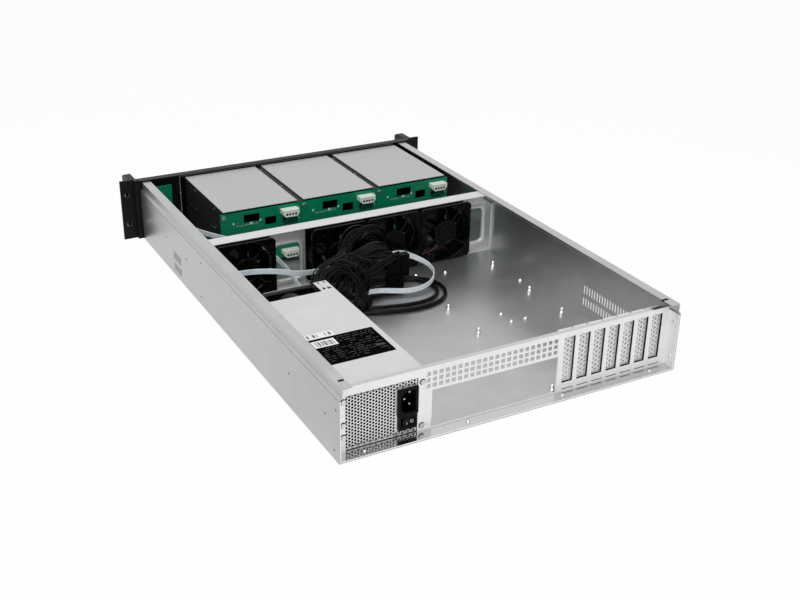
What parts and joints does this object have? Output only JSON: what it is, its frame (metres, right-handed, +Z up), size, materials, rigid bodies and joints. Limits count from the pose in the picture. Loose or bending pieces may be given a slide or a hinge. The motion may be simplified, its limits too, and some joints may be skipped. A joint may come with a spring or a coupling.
{
  "type": "rackmount server case",
  "caption": "Low rackmount server case, lid off: drive bays in front, a wall of fans, an open board bay, a power supply and a slotted rear panel.",
  "frame": {"origin": "middle of the underside of the whole case, handles included", "axes": "+Y towards the rear panel, +X towards the power supply side, +Z up"},
  "size_m": [0.4826, 0.695, 0.088],
  "materials": {
    "galvanised": "dull galvanised",
    "rear_steel": "bright galvanised",
    "black_steel": "satin black",
    "black_casting": "fine textured black",
    "bare_steel": "matt bare sheet",
    "green_board": "solder mask",
    "pale_plastic": "semi matt",
    "black_plastic": "moulded",
    "black_cable": "soft sheath",
    "grey_ribbon": "flat ribbon"
  },
  "bodies": {
    "case": {"chassis_tray": "galvanised", "rear_panel": "rear_steel", "front_panel": "black_steel", "ear_handle_left": "black_casting", "ear_handle_right": "black_casting", "drive_cage": "black_steel", "cage_top_1": "bare_steel", "cage_top_2": "bare_steel", "cage_top_3": "bare_steel", "backplane_1": "green_board", "backplane_2": "green_board", "backplane_3": "green_board", "power_sockets": "pale_plastic", "fan_wall": "galvanised", "fan_frame_1": "black_plastic", "fan_frame_2": "black_plastic", "fan_frame_3": "black_plastic", "fan_frame_4": "black_plastic", "psu_case": "rear_steel", "psu_cover": "rear_steel", "psu_fan_frame": "black_plastic", "psu_inlet": "black_plastic", "psu_board": "green_board", "slot_covers": "galvanised", "standoffs": "galvanised", "rivets": "galvanised", "screws": "galvanised", "control_board": "green_board", "harness_main": "black_cable", "harness_drive": "black_cable", "cable_plugs": "black_plastic", "ribbon_long": "grey_ribbon", "ribbon_panel": "grey_ribbon", "floor_cable": "black_cable"},
    "tray_1": {"drive_tray_1": "black_plastic"},
    "lever_1": {"tray_lever_1": "black_plastic"},
    "tray_2": {"drive_tray_2": "black_plastic"},
    "lever_2": {"tray_lever_2": "black_plastic"},
    "tray_3": {"drive_tray_3": "black_plastic"},
    "lever_3": {"tray_lever_3": "black_plastic"},
    "tray_4": {"drive_tray_4": "black_plastic"},
    "lever_4": {"tray_lever_4": "black_plastic"},
    "tray_5": {"drive_tray_5": "black_plastic"},
    "lever_5": {"tray_lever_5": "black_plastic"},
    "tray_6": {"drive_tray_6": "black_plastic"},
    "lever_6": {"tray_lever_6": "black_plastic"},
    "tray_7": {"drive_tray_7": "black_plastic"},
    "lever_7": {"tray_lever_7": "black_plastic"},
    "tray_8": {"drive_tray_8": "black_plastic"},
    "lever_8": {"tray_lever_8": "black_plastic"},
    "tray_9": {"drive_tray_9": "black_plastic"},
    "lever_9": {"tray_lever_9": "black_plastic"},
    "rotor_1": {"fan_rotor_1": "black_plastic"},
    "rotor_2": {"fan_rotor_2": "black_plastic"},
    "rotor_3": {"fan_rotor_3": "black_plastic"},
    "rotor_4": {"fan_rotor_4": "black_plastic"},
    "psu_rotor": {"psu_fan_rotor": "black_plastic"},
    "rocker": {"switch_rocker": "black_plastic"},
    "power_button": {"power_button": "black_plastic"},
    "reset_button": {"reset_button": "black_plastic"}
  },
  "joints": [
    {"name": "tray_slide_1", "type": "slide", "parent": "case", "child": "tray_1", "axis": [0, -1, 0], "range_m": [0, 0.16]},
    {"name": "lever_hinge_1", "type": "hinge", "parent": "tray_1", "child": "lever_1", "pos_m": [0.0524, -0.3135, 0.0157], "axis": [0, 0, -1], "range_deg": [0, 55]},
    {"name": "tray_slide_2", "type": "slide", "parent": "case", "child": "tray_2", "axis": [0, -1, 0], "range_m": [0, 0.16]},
    {"name": "lever_hinge_2", "type": "hinge", "parent": "tray_2", "child": "lever_2", "pos_m": [-0.0646, -0.3135, 0.0157], "axis": [0, 0, -1], "range_deg": [0, 55]},
    {"name": "tray_slide_3", "type": "slide", "parent": "case", "child": "tray_3", "axis": [0, -1, 0], "range_m": [0, 0.16]},
    {"name": "lever_hinge_3", "type": "hinge", "parent": "tray_3", "child": "lever_3", "pos_m": [-0.1816, -0.3135, 0.0157], "axis": [0, 0, -1], "range_deg": [0, 55]},
    {"name": "tray_slide_4", "type": "slide", "parent": "case", "child": "tray_4", "axis": [0, -1, 0], "range_m": [0, 0.16]},
    {"name": "lever_hinge_4", "type": "hinge", "parent": "tray_4", "child": "lever_4", "pos_m": [0.0524, -0.3135, 0.0427], "axis": [0, 0, -1], "range_deg": [0, 55]},
    {"name": "tray_slide_5", "type": "slide", "parent": "case", "child": "tray_5", "axis": [0, -1, 0], "range_m": [0, 0.16]},
    {"name": "lever_hinge_5", "type": "hinge", "parent": "tray_5", "child": "lever_5", "pos_m": [-0.0646, -0.3135, 0.0427], "axis": [0, 0, -1], "range_deg": [0, 55]},
    {"name": "tray_slide_6", "type": "slide", "parent": "case", "child": "tray_6", "axis": [0, -1, 0], "range_m": [0, 0.16]},
    {"name": "lever_hinge_6", "type": "hinge", "parent": "tray_6", "child": "lever_6", "pos_m": [-0.1816, -0.3135, 0.0427], "axis": [0, 0, -1], "range_deg": [0, 55]},
    {"name": "tray_slide_7", "type": "slide", "parent": "case", "child": "tray_7", "axis": [0, -1, 0], "range_m": [0, 0.16]},
    {"name": "lever_hinge_7", "type": "hinge", "parent": "tray_7", "child": "lever_7", "pos_m": [0.0524, -0.3135, 0.0697], "axis": [0, 0, -1], "range_deg": [0, 55]},
    {"name": "tray_slide_8", "type": "slide", "parent": "case", "child": "tray_8", "axis": [0, -1, 0], "range_m": [0, 0.16]},
    {"name": "lever_hinge_8", "type": "hinge", "parent": "tray_8", "child": "lever_8", "pos_m": [-0.0646, -0.3135, 0.0697], "axis": [0, 0, -1], "range_deg": [0, 55]},
    {"name": "tray_slide_9", "type": "slide", "parent": "case", "child": "tray_9", "axis": [0, -1, 0], "range_m": [0, 0.16]},
    {"name": "lever_hinge_9", "type": "hinge", "parent": "tray_9", "child": "lever_9", "pos_m": [-0.1816, -0.3135, 0.0697], "axis": [0, 0, -1], "range_deg": [0, 55]},
    {"name": "fan_spin_1", "type": "hinge", "parent": "case", "child": "rotor_1", "pos_m": [0.158, -0.052, 0.0424], "axis": [0, 1, 0], "continuous": true},
    {"name": "fan_spin_2", "type": "hinge", "parent": "case", "child": "rotor_2", "pos_m": [0.0269, -0.052, 0.0424], "axis": [0, 1, 0], "continuous": true},
    {"name": "fan_spin_3", "type": "hinge", "parent": "case", "child": "rotor_3", "pos_m": [-0.0537, -0.052, 0.0424], "axis": [0, 1, 0], "continuous": true},
    {"name": "fan_spin_4", "type": "hinge", "parent": "case", "child": "rotor_4", "pos_m": [-0.1343, -0.052, 0.0424], "axis": [0, 1, 0], "continuous": true},
    {"name": "psu_fan_spin", "type": "hinge", "parent": "case", "child": "psu_rotor", "pos_m": [0.1555, 0.0953, 0.035], "axis": [0, 1, 0], "continuous": true},
    {"name": "rocker_tip", "type": "hinge", "parent": "case", "child": "rocker", "pos_m": [0.1296, 0.3318, 0.019], "axis": [0, 0, -1], "range_deg": [0, 14]},
    {"name": "power_button_press", "type": "slide", "parent": "case", "child": "power_button", "axis": [0, 1, 0], "range_m": [0, 0.0015], "stiffness_N_per_m": 200},
    {"name": "reset_button_press", "type": "slide", "parent": "case", "child": "reset_button", "axis": [0, 1, 0], "range_m": [0, 0.0015], "stiffness_N_per_m": 200}
  ]
}
